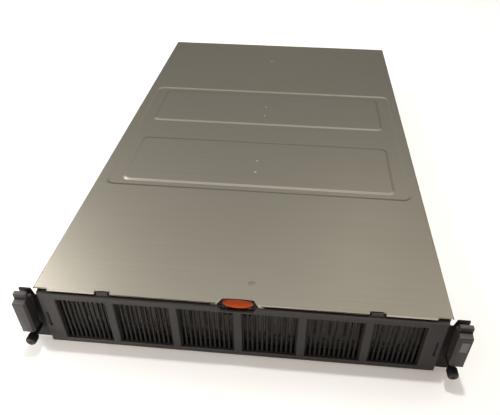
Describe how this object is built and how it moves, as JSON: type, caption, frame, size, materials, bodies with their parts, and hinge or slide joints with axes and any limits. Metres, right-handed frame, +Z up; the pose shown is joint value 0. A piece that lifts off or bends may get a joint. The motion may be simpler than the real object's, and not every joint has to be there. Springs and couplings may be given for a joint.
{
  "type": "rack storage appliance",
  "caption": "Rack network storage appliance: flat steel case with stamped cover, slatted bezel with release button, latch ears, drive cage, fans and slide-out power supplies.",
  "frame": {"origin": "middle of the underside, half way along the whole length", "axes": "+Z up, -Y towards the bezel, +X to the right as seen from the front"},
  "size_m": [0.4826, 0.781, 0.0874],
  "materials": {
    "cover_steel": "satin, fine cross grain",
    "case_steel": "zinc-coated, satin",
    "bezel_plastic": "fine spark texture",
    "grille_plastic": "matt",
    "button_plastic": "satin",
    "lever_plastic": "fine grain",
    "label_plastic": "matt, bare",
    "bracket_paint": "powder coat",
    "knob_metal": "black satin",
    "pin_steel": "ground",
    "carrier_plastic": "matt",
    "drive_metal": "cast, satin",
    "board_laminate": "solder resist",
    "sink_aluminium": "extruded",
    "jack_metal": "tinned",
    "fan_plastic": "moulded",
    "supply_plastic": "moulded",
    "latch_plastic": "moulded"
  },
  "bodies": {
    "chassis": {"chassis_tray": "case_steel", "board_posts": "case_steel", "rear_panel": "case_steel", "slot_covers": "case_steel", "cross_brace": "case_steel", "drive_cage": "case_steel", "drive_carriers_1": "carrier_plastic", "drive_carriers_2": "carrier_plastic", "drive_carriers_3": "carrier_plastic", "drive_carriers_4": "carrier_plastic", "drive_carriers_5": "carrier_plastic", "drive_carriers_6": "carrier_plastic", "hard_drives": "drive_metal", "backplane": "board_laminate", "fan_wall": "case_steel", "fan_frames": "fan_plastic", "mainboard": "board_laminate", "heat_sink_1": "sink_aluminium", "heat_sink_2": "sink_aluminium", "memory_modules": "board_laminate", "network_jacks": "jack_metal", "power_bay": "case_steel", "ear_bracket_left": "bracket_paint", "ear_bracket_right": "bracket_paint", "lever_pin_left": "pin_steel", "lever_pin_right": "pin_steel"},
    "cover": {"top_cover": "cover_steel"},
    "bezel": {"bezel_frame": "bezel_plastic", "bezel_grille_1": "grille_plastic", "bezel_grille_2": "grille_plastic", "bezel_grille_3": "grille_plastic", "bezel_grille_4": "grille_plastic", "bezel_grille_5": "grille_plastic", "bezel_grille_6": "grille_plastic", "button_spring": "pin_steel"},
    "button": {"release_button": "button_plastic"},
    "lever_left": {"ear_lever_left": "lever_plastic"},
    "lever_right": {"ear_lever_right": "lever_plastic", "label_plate": "label_plastic"},
    "screw_left": {"thumb_screw_left": "knob_metal"},
    "screw_right": {"thumb_screw_right": "knob_metal"},
    "fan_1": {"fan_rotor_1": "fan_plastic"},
    "fan_2": {"fan_rotor_2": "fan_plastic"},
    "fan_3": {"fan_rotor_3": "fan_plastic"},
    "supply_1": {"supply_case_1": "case_steel", "supply_inlet_1": "supply_plastic", "supply_handle_1": "supply_plastic"},
    "latch_1": {"supply_latch_1": "latch_plastic"},
    "supply_2": {"supply_case_2": "case_steel", "supply_inlet_2": "supply_plastic", "supply_handle_2": "supply_plastic"},
    "latch_2": {"supply_latch_2": "latch_plastic"}
  },
  "joints": [
    {"name": "cover_lift", "type": "slide", "parent": "chassis", "child": "cover", "axis": [0, 0, 1], "range_m": [0, 0.25]},
    {"name": "bezel_pull", "type": "slide", "parent": "chassis", "child": "bezel", "axis": [0, -1, 0], "range_m": [0, 0.12]},
    {"name": "button_press", "type": "slide", "parent": "bezel", "child": "button", "axis": [0, 0, -1], "range_m": [0, 0.0022], "stiffness_N_per_m": 800, "springref_m": -0.001, "deforming": ["button_spring"]},
    {"name": "lever_swing_left", "type": "hinge", "parent": "chassis", "child": "lever_left", "pos_m": [-0.234, -0.3735, 0.038], "axis": [1, 0, 0], "range_deg": [0, 18], "stiffness_Nm_per_rad": 0.3, "springref_deg": -11.46},
    {"name": "screw_turn_left", "type": "hinge", "parent": "chassis", "child": "screw_left", "pos_m": [-0.23255, -0.3645, 0.0215], "axis": [0, 1, 0], "continuous": true},
    {"name": "lever_swing_right", "type": "hinge", "parent": "chassis", "child": "lever_right", "pos_m": [0.234, -0.3735, 0.038], "axis": [1, 0, 0], "range_deg": [0, 18], "stiffness_Nm_per_rad": 0.3, "springref_deg": -11.46},
    {"name": "screw_turn_right", "type": "hinge", "parent": "chassis", "child": "screw_right", "pos_m": [0.23255, -0.3645, 0.0215], "axis": [0, 1, 0], "continuous": true},
    {"name": "fan_spin_1", "type": "hinge", "parent": "chassis", "child": "fan_1", "pos_m": [-0.136, -0.163, 0.0426], "axis": [0, 1, 0], "continuous": true},
    {"name": "fan_spin_2", "type": "hinge", "parent": "chassis", "child": "fan_2", "pos_m": [0, -0.163, 0.0426], "axis": [0, 1, 0], "continuous": true},
    {"name": "fan_spin_3", "type": "hinge", "parent": "chassis", "child": "fan_3", "pos_m": [0.136, -0.163, 0.0426], "axis": [0, 1, 0], "continuous": true},
    {"name": "supply_pull_1", "type": "slide", "parent": "chassis", "child": "supply_1", "axis": [0, 1, 0], "range_m": [0, 0.2]},
    {"name": "latch_swing_1", "type": "hinge", "parent": "supply_1", "child": "latch_1", "pos_m": [0.211, 0.372, 0.0207], "axis": [0, 0, 1], "range_deg": [0, 10], "stiffness_Nm_per_rad": 0.05, "springref_deg": -11.46},
    {"name": "supply_pull_2", "type": "slide", "parent": "chassis", "child": "supply_2", "axis": [0, 1, 0], "range_m": [0, 0.2]},
    {"name": "latch_swing_2", "type": "hinge", "parent": "supply_2", "child": "latch_2", "pos_m": [0.211, 0.372, 0.0617], "axis": [0, 0, 1], "range_deg": [0, 10], "stiffness_Nm_per_rad": 0.05, "springref_deg": -11.46}
  ]
}
